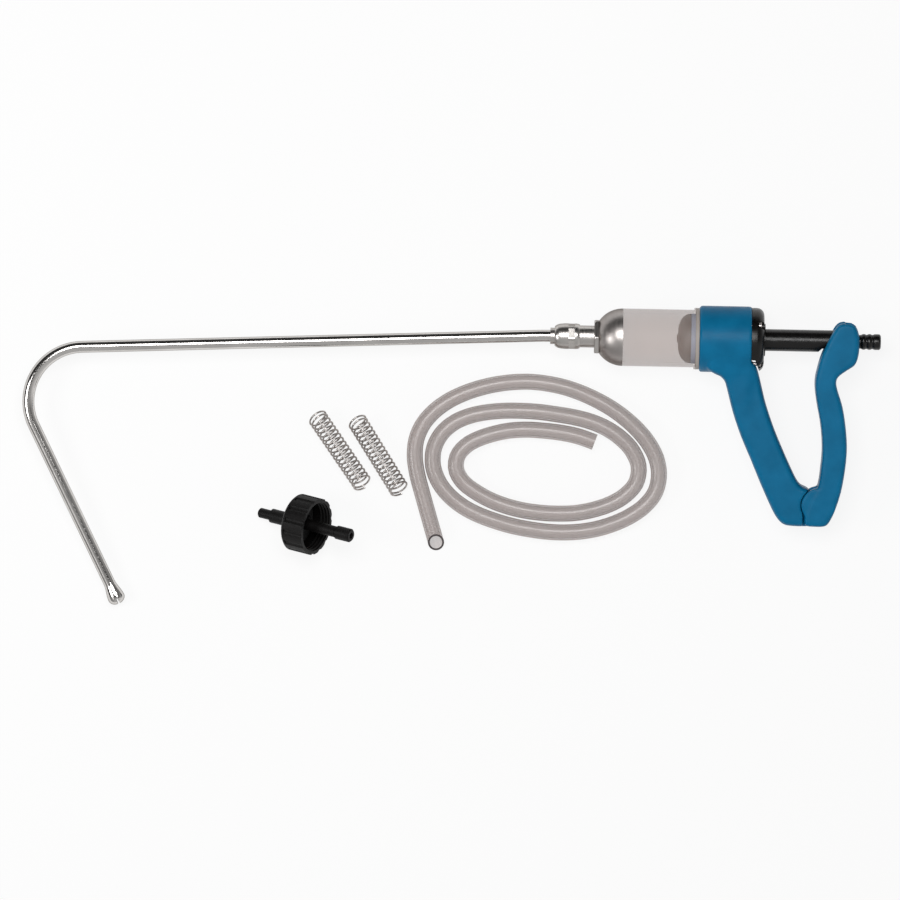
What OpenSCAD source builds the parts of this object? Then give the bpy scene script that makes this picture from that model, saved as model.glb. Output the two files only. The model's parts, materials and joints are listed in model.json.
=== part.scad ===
// Livestock drencher: a hand pump with a hooked nozzle, laid on its side with its loose fittings.
// The barrel axis runs along X, the nozzle points to -X and the grip hangs to -Y.

/* [Pump] */
// Bore of the dosing barrel
bore_d = 40; // [36:0.5:44]
// Wall of the clear barrel
barrel_wall = 3; // [2.5:0.25:4]
// Working stroke of the plunger, which sets the length of barrel that shows
stroke = 48; // [40:0.5:49]
// Length of the metal dome
dome_l = 19; // [17:0.5:22]
// Wall of the metal dome
dome_wall = 3; // [2:0.25:4]

/* [Outlet] */
// Outside diameter of the threaded outlet stem
stem_d = 17.5; // [16:0.25:20]
// Length of the stem in front of the dome
stem_l = 30; // [26:0.5:36]
// Bore of the outlet stem
stem_bore_d = 11; // [9:0.25:12]
// Lock nut across its flats
lock_nut_af = 26; // [22:0.5:28]
// Thickness of the lock nut
lock_nut_t = 3.8; // [3:0.1:6]
// Length of the union nut
union_nut_l = 20; // [18:0.5:26]
// Union nut across its flats
union_nut_af = 20.5; // [20:0.25:26]
// Lift of both check valves
valve_lift = 2.5; // [1.5:0.25:3]

/* [Nozzle] */
// Outside diameter of the nozzle tube
tube_d = 9.5; // [8:0.5:11]
// Wall of the nozzle tube
tube_wall = 1; // [0.75:0.25:1.5]
// Length of the straight run, from the collar to the hook
tube_run_l = 364; // [250:1:450]
// Set of the run away from the barrel axis, in degrees
tube_set = 2.5; // [0.5:0.1:5]
// Radius of the hook's centre line
hook_r = 44; // [32:1:60]
// Turn of the hook, in degrees
hook_turn = 114; // [95:0.5:130]
// Length of the leg behind the hook, without the tip
leg_l = 140; // [100:1:180]
// Diameter of the rounded tip
tip_d = 13.8; // [12:0.2:16]
// Length of the rounded tip
tip_l = 19; // [16:0.5:26]

/* [Handle] */
// Outside diameter of the blue collar
collar_d = 53; // [52:0.5:60]
// Length of the blue collar
collar_l = 42; // [38:0.5:50]
// Drop from the barrel axis to the lever's pivot
pivot_drop = 131; // [115:1:150]
// Distance of the pivot behind the collar's front
pivot_back = 98; // [92:0.5:104]
// Thickness of the grip and of the lever
grip_w = 36; // [32:0.5:42]
// Radius of the lever's hub
hub_r = 13.8; // [12.5:0.1:16]
// Diameter of the pivot pin
pivot_pin_d = 8; // [6:0.5:9]

/* [Plunger] */
// Outside diameter of the plunger rod
rod_d = 17.5; // [17:0.5:21]
// Socket in the rod for the piston's tail
rod_bore_d = 10; // [8:0.5:11]
// Length of the round rod behind the collar's front, up to its flat
rod_l = 95.5; // [93:0.5:99]
// Diameter of the hose barb's shoulder
neck_d = 14; // [12:0.5:15]
// Distance of the trunnions from the rod's end
trunnion_inset = 5.5; // [4:0.5:9]
// Diameter of the trunnions
trunnion_d = 6; // [5:0.5:7]
// Thickness of the rear cap
cap_t = 10; // [9:0.5:14]
// Crest diameter of the hose barbs
barb_d = 13; // [11.5:0.1:14]

/* [Loose fittings] */
// Outside diameter of the feed hose
hose_d = 13; // [11:0.5:13.5]
// Bore of the feed hose
hose_bore_d = 10; // [7:0.5:10.5]
// Wire of the anti-kink springs
kink_wire_d = 1.5; // [0.8:0.1:1.6]
// Length of an anti-kink spring
kink_l = 66; // [56:1:70]
// Number of turns of an anti-kink spring
kink_turns = 18; // [12:1:20]
// Outside diameter of the draw-off cap
draw_cap_d = 46; // [40:0.5:52]
// Height of the draw-off cap
draw_cap_h = 20; // [17:0.5:26]
// Wall of the draw-off cap
draw_cap_wall = 3; // [2.5:0.25:4]
// Length of the fitting's barb behind the cap
draw_barb_l = 34; // [30:0.5:40]
// Length of the fitting's stem past the cap's mouth
draw_stem_l = 33; // [25:0.5:36]

/* [Hidden] */
$fn = 64;
overrun = 1;
curve_step = 10;

// Clearances
run_gap = 0.05;
slip_gap = 0.1;
free_gap = 0.3;
moving_gap = 0.5;

// Barrel, its seals and the dome
barrel_d = bore_d + 2 * barrel_wall;
barrel_room = 13;
barrel_show_l = stroke + barrel_room;
barrel_spigot_l = 4;
barrel_spigot_step = 1.8;
barrel_flange_step = 1.6;
barrel_flange_t = 4;
seal_t = 1.5;
back_wall_t = 9;
barrel_seat = collar_l - back_wall_t - seal_t;
barrel_front = -barrel_show_l - barrel_spigot_l;
dome_front = -barrel_show_l - dome_l;
dome_face_r = 13;
dome_steps = 9;
spigot_d = barrel_d - 2 * barrel_spigot_step;

// Outlet
stem_front = dome_front - stem_l;
stem_flange_t = 2.5;
stem_flange_step = 2;
stem_inner = dome_front + dome_wall + stem_flange_t;
seat_t = 3;
seat_d = stem_bore_d - 2 * slip_gap;
seat_port_d = 6;
outlet_head_t = 2.5;
outlet_head_step = 1;
outlet_stem_d = 3.5;
outlet_guide_share = 3.2;
outlet_stem_l = valve_lift * outlet_guide_share;
valve_wire_d = 0.9;
valve_coils = 5;
stem_outlet_d = 6;
hex_chamfer_share = 0.93;
union_lip_t = 3;
union_reach = 5.4;
union_front = stem_front - union_reach;
union_back = union_front + union_nut_l;
union_bulge_share = 0.8;
union_crest_share = 0.375;
nozzle_collar_d = 14.5;
nozzle_sleeve_d = 13;
nozzle_sleeve_l = 3.5;

// Nozzle
run_set_r = 250;
tube_ring_turn = 6;
tube_sides = 12;
tip_bore_share = 0.38;
tip_end_share = 0.8;
tip_spigot_l = 8;
tip_steps = 6;
tip_slot_w = 1.6;
tip_slot_l = 5;

// Collar, grip and lever
axis_h = collar_d / 2;
back_bore_step = 2.5;
back_bore_d = rod_d + 2 * back_bore_step;
collar_edge = 1.5;
grip_edge_in = 3.5;
grip_edge_up = 7;
lever_edge_in = 2.5;
lever_edge_up = 5;
edge_levels = 4;
outline_steps = 3;
lug_half_w = 10.6;
spring_half_w = 4.8;
lug_r = 11.4;
hub_gap = 0.5;
foot_split = 12.4;
foot_split_drop = 5;
blend_drop = 12;
collar_side = sqrt(pow(collar_d / 2, 2) - pow(blend_drop, 2));
blend_rise = collar_side - grip_w / 2;
blend_l = 2 * blend_rise * collar_side / blend_drop;
// Outlines as shares of the pivot drop, from the pivot
grip_shares = [
    [-0.70, 0.83], [-0.65, 0.792], [-0.615, 0.777], [-0.589, 0.750], [-0.573, 0.705], [-0.533, 0.557],
    [-0.481, 0.412], [-0.417, 0.267], [-0.354, 0.121], [-0.290, -0.016], [-0.256, -0.076], [-0.222, -0.113],
    [-0.180, -0.128], [-0.080, -0.131], [-0.042, -0.124], [-0.019, -0.103], [-0.011, -0.07],
    [-0.018, -0.01], [-0.034, 0.05], [-0.054, 0.088], [-0.078, 0.106], [-0.105, 0.117], [-0.127, 0.139],
    [-0.155, 0.188],
    [-0.217, 0.319], [-0.280, 0.464], [-0.332, 0.610], [-0.358, 0.707], [-0.383, 0.804], [-0.405, 0.852],
    [-0.445, 0.881], [-0.52, 0.93], [-0.60, 0.94], [-0.67, 0.90]];
lever_shares = [
    [0.150, 1.117], [0.112, 1.112], [0.086, 1.090], [0.060, 1.045], [0.037, 1.0], [0.000, 0.912],
    [-0.019, 0.845], [-0.033, 0.778], [-0.034, 0.713], [-0.020, 0.616], [0.0, 0.518], [0.013, 0.421],
    [0.017, 0.324], [0.010, 0.226], [-0.005, 0.116], [-0.045, 0.05], [-0.072, -0.02], [-0.086, -0.07],
    [-0.086, -0.108], [-0.070, -0.128], [-0.030, -0.131], [0.020, -0.131], [0.052, -0.122], [0.078, -0.085],
    [0.107, -0.016], [0.136, 0.082], [0.155, 0.192], [0.166, 0.303], [0.165, 0.400], [0.151, 0.521],
    [0.131, 0.619], [0.104, 0.700], [0.093, 0.752], [0.106, 0.788], [0.155, 0.826], [0.205, 0.862],
    [0.226, 0.920], [0.230, 0.985], [0.226, 1.05], [0.200, 1.106]];
foot_share = 0.122;

// How far the gun rolls on its collar until the grip's foot meets the table
foot_edge = (grip_edge_in + grip_edge_up) / 2;
foot_out = pivot_drop * (1 + foot_share) - foot_edge;
foot_down = grip_w / 2 - foot_edge;
roll = asin((axis_h - foot_edge) / norm([foot_out, foot_down])) - atan2(foot_down, foot_out);

// Lever linkage
rod_neck_l = 28.5;
rod_end = rod_l + rod_neck_l;
trunnion_back = rod_end - trunnion_inset;
fork_gap = 0.7;
fork_half_w = rod_d / 2 + fork_gap;
fork_floor = 15;
trunnion_reach = 5.5;
trunnion_half_l = fork_half_w + trunnion_reach;
trunnion_slot_half_l = trunnion_half_l + moving_gap;
trunnion_slot_w = trunnion_d + 2 * moving_gap;
trunnion_lean = atan2(trunnion_back - pivot_back, pivot_drop);
slot_bottom = pivot_drop - trunnion_d / 2 - moving_gap;
slot_top_share = 1.2;
slot_top = pivot_drop * slot_top_share;
pin_far_inset = 1;
pin_near_inset = 4;
spring_wire_d = 1.6;
spring_r = 6;
spring_turns = 3.25;
spring_pitch = 2.1;
spring_leg_back = 9.2;
spring_leg_up = 9.6;

// Plunger
piston_gap = 0.2;
ring_t = 4.4;
ring_groove_depth = 3;
ring_groove_gap = 0.15;
ring_back = -2;
ring_front = ring_back - ring_t;
piston_back = 1;
piston_nose_l = 9.5;
piston_land = 0.8;
piston_front = ring_front - piston_land - piston_nose_l;
piston_tail_l = 14;
nose_face_r = 6;
inlet_port_d = 6;
inlet_head_d = 8;
inlet_head_t = 2;
inlet_stem_d = 3;
inlet_spring_room = 1;
inlet_spring_l = valve_lift + valve_coils * valve_wire_d + inlet_spring_room;
inlet_cup_d = 8;
inlet_retainer_t = 1;
rod_chamfer = 2;
rod_flat_depth = 3;
barb_seat_l = 14;
barb_seat_d = 9.5;
barb_pitch = 5.5;
barb_count = 3;
barb_root_share = 0.87;
barb_land = 0.8;
barb_bore_d = 6;
barb_nose_l = 2.5;
barb_nose_share = 0.72;
barb_flange_t = 1.5;
barb_relief = 1;
barb_end = rod_end + barb_flange_t + barb_relief + barb_count * barb_pitch + barb_nose_l;

// Rear cap, its screws and the rod seal
cap_step = 1;
cap_d = collar_d - 2 * cap_step;
cap_round = 6;
cap_boss_d = 26;
cap_boss_t = 1;
cap_steps = 6;
seal_groove_t = 4;
seal_step = 3;
seal_groove_d = rod_d + 2 * seal_step;
screw_d = 3;
screw_reach_share = 0.85;
screw_l = back_wall_t * screw_reach_share;
screw_head_d = 5.6;
screw_head_t = 2.2;
screw_pocket_d = 6.8;
screw_seat_t = 5.5;
screw_seat = collar_l + screw_seat_t;
screw_inset = 4.2;
screw_ring_r = collar_d / 2 - screw_inset;
screw_slot_w = 0.8;
screw_turn = -33;
screw_count = 4;
cap_key_top_t = 3;
cap_key_foot_t = 7.2;
cap_key_drop = 15.5;

// Hose route on the table, from the barrel's front end, as round points chosen by hand
hose_points = [
    [-207.2, -167], [-211.2, -153.8], [-215.2, -140.6], [-219.2, -127.2], [-223, -114],
    [-225.4, -100.2], [-224.8, -86.4], [-220, -73.6], [-211.4, -62.8], [-200.4, -54.2],
    [-188.2, -47.8], [-175.2, -43], [-161.8, -39.6], [-148.2, -37.6], [-134.2, -37], [-120.4, -38.2],
    [-106.8, -40.8], [-93.6, -45], [-81, -50.4], [-68.8, -57], [-57.4, -65], [-47, -74.2],
    [-38.2, -84.8], [-31.8, -97], [-29.6, -110.6], [-32.6, -124], [-41, -135], [-52.2, -143.2],
    [-64.6, -149.2], [-77.8, -153.6], [-91.4, -156.2], [-105.2, -157.2], [-119, -156.8],
    [-132.8, -155.2], [-146.4, -152.8], [-159.8, -149.2], [-173, -144.6], [-185.6, -138.4],
    [-196.8, -129.9], [-205.6, -119.2], [-210.6, -106.4], [-210.4, -92.4], [-204.4, -79.8],
    [-194, -70.6], [-181.4, -65], [-167.8, -62], [-154.2, -60.6], [-140.2, -60.4], [-126.4, -61],
    [-112.6, -62.6], [-99, -64.6], [-85.4, -67.8], [-72.6, -73], [-61, -80.6], [-51.4, -90.6],
    [-46, -103.2], [-48, -116.6], [-57, -127], [-68.8, -134], [-82, -138.6], [-95.6, -141.4],
    [-109.4, -142.2], [-123.2, -141.8], [-137, -140.2], [-150.4, -137.2], [-163.4, -132.7],
    [-175.6, -126.4], [-186.2, -118.6], [-192.2, -108.4], [-191.2, -97.4], [-184.2, -88.9],
    [-174.6, -83.4], [-162.6, -79.2], [-149.8, -76.4], [-136, -75.4], [-122.2, -76], [-108.4, -77.4],
    [-94.8, -80], [-81.6, -84.4]];
hose_sides = 10;
hose_ring_step = 18;

// Anti-kink springs
kink_gap = 0.2;
kink_r = hose_d / 2 + kink_wire_d / 2 + kink_gap;
kink_rings = 8;
kink_sides = 6;
kink_end_gap = 0.6;
kink_end_pitch = kink_wire_d + kink_end_gap;
kink_turn_1 = -54.5;
kink_turn_2 = -57;
kink_1_at = [-304.4, -68.6];
kink_2_at = [-272.4, -71.2];

// Draw-off cap and its fitting
draw_cap_r = draw_cap_d / 2;
draw_flutes = 14;
draw_flute_d = 7;
draw_flute_depth = 0.9;
draw_tip_d = 8;
draw_step_d = 11.4;
draw_thin_l = 12;
draw_stem_d = 9;
draw_stem_end_d = 11;
draw_stem_end_l = 14;
draw_bore_d = 5;
draw_flange_d = 16;
draw_flange_t = 2;
draw_chamfer = 1;
gasket_t = 1.5;
thread_depth = 0.9;
thread_pitch = 3;
thread_count = 3;
vent_d = 5.6;
vent_bore_d = 2.6;
vent_out = 12.5;
vent_turn = 205;
draw_at = [-303, -156.5];
draw_heading = -13;
draw_tilt = atan2(draw_cap_r - draw_tip_d / 2, draw_barb_l);
draw_lift = draw_cap_h * sin(draw_tilt) + draw_cap_r * cos(draw_tilt);

// Path of the nozzle tube: each leg is [length, 0] and each bend is [radius, turn]
tube_start = stem_front;
tube_path = [[union_reach + nozzle_sleeve_l, 0], [run_set_r, tube_set], [tube_run_l, 0], [hook_r, hook_turn],
             [leg_l, 0]];
function path_step(p, s) = s[1] == 0
    ? [p[0] + s[0] * cos(p[2]), p[1] + s[0] * sin(p[2]), p[2]]
    : [p[0] + s[0] * (sin(p[2] + s[1]) - sin(p[2])), p[1] - s[0] * (cos(p[2] + s[1]) - cos(p[2])),
       p[2] + s[1]];
function path_at(k) = k == 0 ? [tube_start, 0, 180] : path_step(path_at(k - 1), tube_path[k - 1]);
tube_end = path_at(len(tube_path));
hook_start = path_at(3);
tip_centre_l = tip_l - tip_d / 2 * tip_end_share;
tip_centre = [tube_end[0] + tip_centre_l * cos(tube_end[2]), tube_end[1] + tip_centre_l * sin(tube_end[2])];
nozzle_roll = asin((axis_h - tip_d / 2) / -tip_centre[1]);

// Place of the gun: its box is centred on the origin
hook_reach = hook_start[0] - hook_r * sin(hook_start[2]) - hook_r - tube_d / 2;
tip_reach = tip_centre[1] * cos(nozzle_roll) - tip_d / 2;
gun_at = [-(barb_end + hook_reach) / 2, -(collar_d / 2 + tip_reach) / 2];
echo(roll = roll, nozzle_roll = nozzle_roll, gun_at = gun_at, barb_end = barb_end, draw_tilt = draw_tilt);

// General shapes
module on_table() { translate([gun_at[0], gun_at[1], 0]) children(); }
module on_gun() { on_table() translate([0, 0, axis_h]) rotate([roll, 0, 0]) children(); }
module on_nozzle() { on_table() translate([0, 0, axis_h]) rotate([nozzle_roll, 0, 0]) children(); }
module at_pivot() { translate([pivot_back, -pivot_drop, 0]) children(); }

// A turned piece along X, from points that hold a place along the axis and a radius
module turned(points) { rotate([0, 90, 0]) rotate_extrude() polygon([for (p = points) [p[1], p[0]]]); }
module rod_x(from, to, d) { translate([from, 0, 0]) rotate([0, 90, 0]) cylinder(h = to - from, d = d); }
module ring_x(from, to, d, bore) {
    difference() {
        rod_x(from, to, d);
        rod_x(from - overrun, to + overrun, bore);
    }
}
module pin_z(half_l, d) { cylinder(h = 2 * half_l, d = d, center = true); }
module hex_x(from, to, af) {
    corner_d = af / cos(30);
    translate([from, 0, 0]) rotate([0, 90, 0]) cylinder(h = to - from, d = corner_d, $fn = 6);
}

function unit(v) = v / norm(v);
function spline_at(a, b, c, d, t) =
    0.5 * (2 * b + (c - a) * t + (2 * a - 5 * b + 4 * c - d) * t * t + (3 * b - a - 3 * c + d) * t * t * t);
function closed_curve(p, steps) = let (n = len(p))
    [for (i = [0 : n - 1], k = [0 : steps - 1])
        spline_at(p[(i + n - 1) % n], p[i], p[(i + 1) % n], p[(i + 2) % n], k / steps)];
function open_curve(p, steps) = let (n = len(p))
    [for (i = [0 : n - 2], k = [0 : steps - 1])
        spline_at(p[max(i - 1, 0)], p[i], p[i + 1], p[min(i + 2, n - 1)], k / steps), p[n - 1]];
function curve_l(p) = len(p) < 2 ? 0 : norm(p[1] - p[0]) + curve_l([for (i = [1 : len(p) - 1]) p[i]]);

// A moulded plate: the outline is drawn in by steps towards both faces, which rounds its edges.
// The flare says how much further out the faces stand at a height along Y.
function drawn_in(p, inset) = let (n = len(p))
    [for (i = [0 : n - 1]) let (
        before = unit(p[i] - p[(i + n - 1) % n]),
        after = unit(p[(i + 1) % n] - p[i]),
        along = unit(before + after))
        p[i] + inset * [-along[1], along[0]]];
module moulded(outline, half_w, edge_in, edge_up, flare = function (y) 0) {
    n = len(outline);
    turns = [for (k = [0 : edge_levels]) 90 * k / edge_levels];
    half = [for (t = turns) [half_w - edge_up + edge_up * sin(t), edge_in * (1 - cos(t))]];
    levels = concat([for (k = [edge_levels : -1 : 0]) [-half[k][0], half[k][1]]], half);
    points = [for (l = levels) for (p = drawn_in(outline, l[1]))
        [p[0], p[1], l[0] + sign(l[0]) * flare(p[1])]];
    m = len(levels);
    walls = [for (k = [0 : m - 2], i = [0 : n - 1]) let (a = k * n + i, b = k * n + (i + 1) % n)
        each [[a, b + n, b], [a, a + n, b + n]]];
    top = (m - 1) * n;
    caps = [for (i = [0 : n / 2 - 2]) let (j = n - 1 - i)
        each [[i, i + 1, j - 1], [i, j - 1, j],
              [top + i, top + j - 1, top + i + 1], [top + i, top + j, top + j - 1]]];
    polyhedron(points, concat(walls, caps), convexity = 6);
}

// A round wire or hose through rings of points, solid or with a bore
function wire_ring(p, u, v, r, sides) =
    [for (i = [0 : sides - 1]) let (a = 360 * i / sides) p + r * (cos(a) * u + sin(a) * v)];
function skin_faces(first, rings, sides, inward) =
    [for (k = [0 : rings - 2], i = [0 : sides - 1]) let (
        a = first + k * sides + i, b = first + k * sides + (i + 1) % sides)
        each (inward ? [[a, b + sides, b], [a, a + sides, b + sides]]
                     : [[a, b, b + sides], [a, b + sides, a + sides]])];
module wire(frames, r, sides) {
    n = len(frames);
    points = [for (f = frames) each wire_ring(f[0], f[1], f[2], r, sides)];
    ends = concat([for (i = [1 : sides - 2]) [0, i + 1, i]],
                  [for (i = [1 : sides - 2]) let (e = (n - 1) * sides) [e, e + i, e + i + 1]]);
    polyhedron(points, concat(skin_faces(0, n, sides, false), ends), convexity = 8);
}
module hollow_wire(frames, r, bore_r, sides) {
    n = len(frames);
    inner = n * sides;
    points = concat([for (f = frames) each wire_ring(f[0], f[1], f[2], r, sides)],
                    [for (f = frames) each wire_ring(f[0], f[1], f[2], bore_r, sides)]);
    last = (n - 1) * sides;
    ends = [for (i = [0 : sides - 1]) let (j = (i + 1) % sides)
        each [[i, inner + j, j], [i, inner + i, inner + j],
              [last + i, last + j, inner + last + j], [last + i, inner + last + j, inner + last + i]]];
    polyhedron(points, concat(skin_faces(0, n, sides, false), skin_faces(inner, n, sides, true), ends),
               convexity = 8);
}
// Frames of a helix round Z: [centre of the wire, outward, along the axis]
function helix_frames(r, turns, rings, rise) = [for (k = [0 : round(turns * rings)]) let (
    a = 360 * k / rings, out = [cos(a), sin(a), 0])
    [[r * out[0], r * out[1], rise(k / rings)], out, [0, 0, 1]]];

// Fixed pieces of the gun: the grip's faces rise in a curve that meets the round collar
function grip_flare(y) = let (t = (y - pivot_drop + blend_drop + blend_l) / blend_l)
    blend_rise * pow(min(1, max(0, t)), 2);
module handle_body() {
    color([0.10, 0.41, 0.59]) on_gun() difference() {
        union() {
            turned([[0, 0], [0, collar_d / 2 - collar_edge], [collar_edge, collar_d / 2],
                    [collar_l, collar_d / 2], [collar_l, 0]]);
            at_pivot() moulded(closed_curve(grip_shares * pivot_drop, outline_steps), grip_w / 2,
                               grip_edge_in, grip_edge_up, function (y) grip_flare(y));
            at_pivot() pin_z(lug_half_w + overrun, 2 * lug_r);
        }
        rod_x(-overrun, collar_l - back_wall_t, barrel_d + 2 * slip_gap);
        rod_x(-overrun, collar_l + overrun, back_bore_d);
        for (i = [0 : screw_count - 1])
            rotate([screw_turn - 90 * i, 0, 0]) translate([0, 0, screw_ring_r])
                rod_x(collar_l - screw_l, screw_seat, screw_d + 2 * run_gap);
        at_pivot() {
            for (side = [-1, 1]) translate([0, 0, side * (lug_half_w + grip_w / 2)]) {
                pin_z(grip_w / 2, 2 * (hub_r + hub_gap));
                translate([-foot_split, -2 * hub_r, -grip_w / 2])
                    cube([4 * hub_r, 2 * hub_r - foot_split_drop, grip_w]);
            }
            pin_z(grip_w, pivot_pin_d + 2 * run_gap);
            pin_z(spring_half_w, 2 * (lug_r + free_gap));
        }
    }
}
module barrel() {
    color([0.82, 0.78, 0.76, 0.35]) on_gun() difference() {
        turned([[barrel_front, 0], [barrel_front, spigot_d / 2], [-barrel_show_l, spigot_d / 2],
                [-barrel_show_l, barrel_d / 2], [-barrel_flange_t, barrel_d / 2],
                [-barrel_flange_t, barrel_d / 2 + barrel_flange_step], [0, barrel_d / 2 + barrel_flange_step],
                [0, barrel_d / 2], [barrel_seat, barrel_d / 2], [barrel_seat, 0]]);
        rod_x(barrel_front - overrun, barrel_seat + overrun, bore_d);
    }
}
module barrel_front_seal() {
    color([0.2, 0.2, 0.2]) on_gun() ring_x(barrel_front - seal_t, barrel_front, spigot_d, bore_d);
}
module barrel_rear_seal() {
    color([0.2, 0.2, 0.2]) on_gun() ring_x(barrel_seat, barrel_seat + seal_t, barrel_d, bore_d);
}
function dome_curve(r, face_r, length, back) = let (start = asin(face_r / r), reach = length / cos(start))
    [for (k = [0 : dome_steps]) let (t = start + (90 - start) * k / dome_steps)
        [back - reach * cos(t), r * sin(t)]];
module nose_dome() {
    inner_front = barrel_front - seal_t;
    color([0.60, 0.58, 0.56]) on_gun() difference() {
        turned(concat([[dome_front, 0]], dome_curve(barrel_d / 2, dome_face_r, dome_l, -barrel_show_l),
                      [[-barrel_show_l, 0]]));
        rod_x(inner_front, -barrel_show_l + overrun, spigot_d + 2 * slip_gap);
        turned([[dome_front + dome_wall, 0], [dome_front + dome_wall, dome_face_r],
                [inner_front, bore_d / 2 - dome_wall], [inner_front + overrun, bore_d / 2 - dome_wall],
                [inner_front + overrun, 0]]);
        rod_x(dome_front - overrun, inner_front, stem_d + 2 * slip_gap);
    }
}
module outlet_stem() {
    color([0.74, 0.74, 0.75]) on_gun() difference() {
        union() {
            rod_x(stem_front, stem_inner, stem_d);
            rod_x(stem_inner - stem_flange_t, stem_inner, stem_d + 2 * stem_flange_step);
        }
        rod_x(stem_front + stem_flange_t, stem_inner + overrun, stem_bore_d);
        rod_x(stem_front - overrun, stem_inner, stem_outlet_d);
    }
}
module outlet_seat() {
    color([0.85, 0.84, 0.80]) on_gun() ring_x(stem_inner - seat_t, stem_inner, seat_d, seat_port_d);
}
module outlet_valve() {
    head_back = stem_inner - seat_t;
    color([0.93, 0.92, 0.88]) on_gun() {
        rod_x(head_back - outlet_head_t, head_back, stem_bore_d - 2 * outlet_head_step);
        rod_x(head_back - outlet_head_t - outlet_stem_l, head_back - outlet_head_t, outlet_stem_d);
    }
}
module outlet_valve_spring() {
    spring_back = stem_inner - seat_t - outlet_head_t;
    spring_front = stem_front + stem_flange_t;
    span = spring_back - spring_front - valve_wire_d;
    coil_r = stem_bore_d / 2 - valve_wire_d / 2 - free_gap;
    color([0.75, 0.75, 0.77]) on_gun() translate([spring_front + valve_wire_d / 2, 0, 0]) rotate([0, 90, 0])
        wire(helix_frames(coil_r, valve_coils, kink_rings, function (t) span * t / valve_coils),
             valve_wire_d / 2, kink_sides);
}
module lock_nut() {
    front = dome_front - lock_nut_t;
    corner_r = lock_nut_af / 2 / cos(30);
    color([0.80, 0.80, 0.81]) on_gun() difference() {
        intersection() {
            hex_x(front, dome_front, lock_nut_af);
            turned([[front, 0], [front, corner_r * hex_chamfer_share],
                    [dome_front - lock_nut_t / 2, corner_r], [dome_front, corner_r], [dome_front, 0]]);
        }
        rod_x(front - overrun, dome_front + overrun, stem_d + 2 * slip_gap);
    }
}
module union_nut() {
    corner_r = union_nut_af / 2 / cos(30);
    lip_d = nozzle_sleeve_d + 2 * slip_gap;
    color([0.80, 0.80, 0.81]) on_gun() difference() {
        intersection() {
            hex_x(union_front, union_back, union_nut_af);
            turned([[union_front, 0], [union_front, corner_r * union_bulge_share],
                    [union_front + union_nut_l * union_crest_share, corner_r],
                    [union_back - union_lip_t, corner_r], [union_back, corner_r * hex_chamfer_share],
                    [union_back, 0]]);
        }
        rod_x(union_front + union_lip_t, union_back + overrun, stem_d + 2 * slip_gap);
        rod_x(union_front - overrun, union_back, lip_d);
    }
}

// Nozzle
function bend_at(p, s, t) = path_step(p, [s[0], s[1] * t]);
tube_places = [for (k = [0 : len(tube_path) - 1])
    let (p = path_at(k), s = tube_path[k], n = ceil(s[1] / tube_ring_turn))
    each (n == 0 ? [p] : [for (i = [0 : n - 1]) i == 0 ? p : bend_at(p, s, i / n)]), tube_end];
tube_frames = [for (p = tube_places) [[p[0], p[1], 0], [sin(p[2]), -cos(p[2]), 0], [0, 0, 1]]];
module nozzle_tube() {
    color([0.82, 0.82, 0.83]) on_nozzle()
        hollow_wire(tube_frames, tube_d / 2, tube_d / 2 - tube_wall, tube_sides);
}
module nozzle_collar() {
    collar_back = stem_front;
    collar_front = union_front + union_lip_t;
    color([0.76, 0.76, 0.77]) on_nozzle() difference() {
        turned([[union_front - nozzle_sleeve_l, 0], [union_front - nozzle_sleeve_l, nozzle_sleeve_d / 2],
                [collar_front, nozzle_sleeve_d / 2], [collar_front, nozzle_collar_d / 2],
                [collar_back, nozzle_collar_d / 2], [collar_back, 0]]);
        rod_x(union_front - nozzle_sleeve_l - overrun, collar_back + overrun, tube_d);
    }
}
module nozzle_tip() {
    r = tip_d / 2;
    root_r = tube_d / 2;
    spigot_r = (root_r - tube_wall) * cos(180 / tube_sides) - run_gap;
    color([0.78, 0.78, 0.78]) on_nozzle()
        translate([tube_end[0], tube_end[1], 0]) rotate([0, 0, tube_end[2]]) difference() {
            turned(concat([[-tip_spigot_l, 0], [-tip_spigot_l, spigot_r], [0, spigot_r], [0, root_r]],
                          [for (k = [1 : tip_steps]) let (t = k / tip_steps)
                              [tip_centre_l * t, root_r + (r - root_r) * (3 * t * t - 2 * t * t * t)]],
                          [for (t = [curve_step : curve_step : 90])
                              [tip_centre_l + r * tip_end_share * sin(t), r * cos(t)]]));
            rod_x(-tip_spigot_l - overrun, tip_l + overrun, tip_d * tip_bore_share);
            for (side = [0, 90]) rotate([side, 0, 0])
                translate([tip_l - tip_slot_l, -tip_d, -tip_slot_w / 2])
                    cube([tip_slot_l + overrun, 2 * tip_d, tip_slot_w]);
        }
}

// Rear cap and what it holds
module rear_cap() {
    back = collar_l + cap_t;
    color([0.07, 0.07, 0.08]) on_gun() difference() {
        turned(concat([[collar_l, 0], [collar_l, cap_d / 2]],
                      [for (k = [0 : cap_steps]) let (t = 90 * k / cap_steps)
                          [back - cap_round * (1 - sin(t)), cap_d / 2 - cap_round * (1 - cos(t))]],
                      [[back, cap_boss_d / 2], [back + cap_boss_t, cap_boss_d / 2], [back + cap_boss_t, 0]]));
        rod_x(collar_l - overrun, back + cap_boss_t + overrun, rod_d + 2 * slip_gap);
        rod_x(collar_l - overrun, collar_l + seal_groove_t, seal_groove_d);
        for (i = [0 : screw_count - 1]) rotate([screw_turn - 90 * i, 0, 0]) translate([0, 0, screw_ring_r]) {
            rod_x(collar_l - overrun, back + overrun, screw_d + 2 * slip_gap);
            rod_x(screw_seat, back + overrun, screw_pocket_d);
        }
        linear_extrude(height = collar_d, center = true)
            polygon([[collar_l - overrun, -cap_key_drop], [collar_l + cap_key_top_t, -cap_key_drop],
                     [collar_l + cap_key_foot_t, -collar_d / 2], [collar_l - overrun, -collar_d / 2]]);
    }
}
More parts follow.
